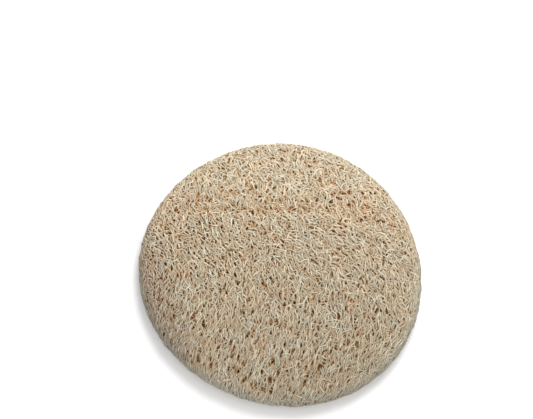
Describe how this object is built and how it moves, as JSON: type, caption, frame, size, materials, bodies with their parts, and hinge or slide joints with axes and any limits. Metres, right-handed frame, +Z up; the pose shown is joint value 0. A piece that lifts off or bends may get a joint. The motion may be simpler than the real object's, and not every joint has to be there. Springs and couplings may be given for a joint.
{
  "type": "natural loofah sponge",
  "caption": "Flat round natural loofah pad: a pressed net of dried plant fibres with open pores and a rolled rim, used wet to scrub skin.",
  "frame": {"origin": "middle of the flat underside that the pad lies on", "axes": "+Z up through the pad's thickness, +X to the right and +Y away from a viewer who looks at the pad as the picture does"},
  "size_m": [0.0996, 0.0992, 0.008],
  "materials": {
    "loofah_fibre": "matte dry plant fibre, warm tan"
  },
  "bodies": {
    "root": {"loofah_pad": "loofah_fibre"}
  },
  "joints": []
}
